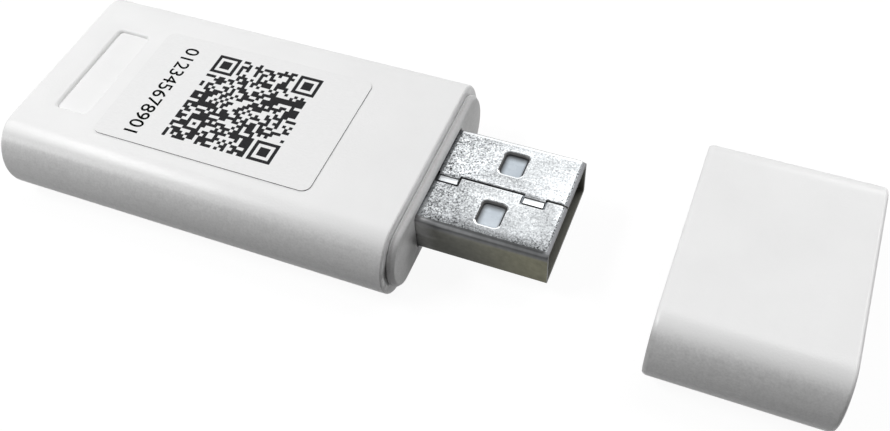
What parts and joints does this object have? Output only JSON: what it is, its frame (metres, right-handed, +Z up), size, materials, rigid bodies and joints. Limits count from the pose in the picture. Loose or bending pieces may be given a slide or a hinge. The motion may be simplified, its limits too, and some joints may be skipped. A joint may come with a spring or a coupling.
{
  "type": "usb wi-fi dongle",
  "caption": "Flat white plastic stick with a USB-A plug, a paper label on top, a wireless module inside and a pull-off cap lying beyond the plug.",
  "frame": {"origin": "centre of the sleeve's flat bottom face", "axes": "+X along the stick to the plug's tip, +Z up through the label, +Y towards the far long side"},
  "size_m": [0.0827, 0.0248, 0.0089],
  "materials": {
    "white_plastic": "satin moulded plastic",
    "label_paper": "smooth white sticker with black print",
    "plug_steel": "nickel-plated folded sheet with a fine grain",
    "tongue_plastic": "pale moulded insulator",
    "contact_gold": "gold-plated spring bronze",
    "board_green": "solder-masked glass laminate",
    "module_board_blue": "solder-masked glass laminate",
    "copper_trace": "gold-plated copper print",
    "can_steel": "tinned sheet",
    "chip_black": "moulded epoxy",
    "crystal_can": "lidded metal package",
    "capacitor_tan": "fired ceramic",
    "tantalum_yellow": "moulded epoxy with a dark band",
    "ferrite_grey": "fired ferrite"
  },
  "bodies": {
    "dongle": {"housing_sleeve": "white_plastic", "end_collar": "white_plastic", "label": "label_paper", "usb_shell": "plug_steel", "usb_tongue": "tongue_plastic", "contact_vbus": "contact_gold", "contact_data_minus": "contact_gold", "contact_data_plus": "contact_gold", "contact_ground": "contact_gold", "main_board": "board_green", "module_board": "module_board_blue", "antenna_trace": "copper_trace", "shield_can": "can_steel", "radio_chip": "chip_black", "flash_chip": "chip_black", "crystal": "crystal_can", "module_capacitors": "capacitor_tan", "voltage_regulator": "chip_black", "input_capacitor": "tantalum_yellow", "output_capacitor": "tantalum_yellow", "esd_diode": "chip_black", "ferrite_bead": "ferrite_grey", "resistors": "chip_black"},
    "cap": {"cap": "white_plastic"}
  },
  "joints": [
    {"name": "cap_slide", "type": "slide", "parent": "dongle", "child": "cap", "axis": [1, 0, 0], "range_m": [-0.02415, 0]}
  ]
}
